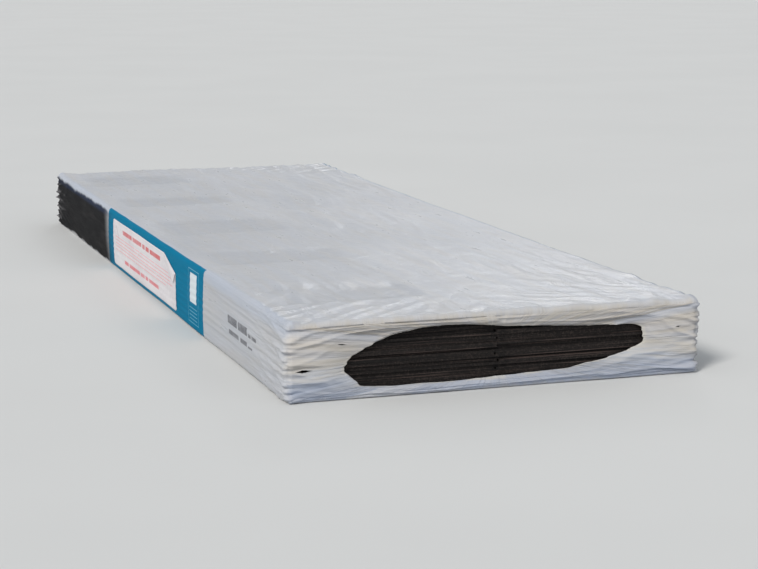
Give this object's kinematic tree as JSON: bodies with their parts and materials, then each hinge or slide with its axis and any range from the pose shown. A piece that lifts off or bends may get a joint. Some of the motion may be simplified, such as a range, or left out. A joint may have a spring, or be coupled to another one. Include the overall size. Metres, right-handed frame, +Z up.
{
  "type": "asphalt shingle bundle",
  "caption": "Flat rectangular bundle of laminated asphalt shingles, stacked in nested pairs inside a printed film sleeve that is open over both ends, with a plain label on each long side.",
  "frame": {"origin": "middle of the bundle's footprint, on the surface that it lies on", "axes": "+Z up through the stack, +X along the shingles towards the white end, and the front long side faces -Y"},
  "size_m": [1.048, 0.358, 0.0627],
  "materials": {
    "shingle": "rough mineral granules and limestone filler bound in asphalt",
    "film": "printed polyethylene shrink film: black, teal and white fields, glossy and creased",
    "label": "white stick-on label with plain red bars"
  },
  "bodies": {
    "root": {"shingle_01": "shingle", "shingle_02": "shingle", "shingle_03": "shingle", "shingle_04": "shingle", "shingle_05": "shingle", "shingle_06": "shingle", "shingle_07": "shingle", "shingle_08": "shingle", "shingle_09": "shingle", "shingle_10": "shingle", "shingle_11": "shingle", "shingle_12": "shingle", "shingle_13": "shingle", "shingle_14": "shingle", "shingle_15": "shingle", "shingle_16": "shingle", "shingle_17": "shingle", "shingle_18": "shingle", "shingle_19": "shingle", "shingle_20": "shingle", "film_wrapper": "film", "front_label": "label", "back_label": "label"}
  },
  "joints": []
}
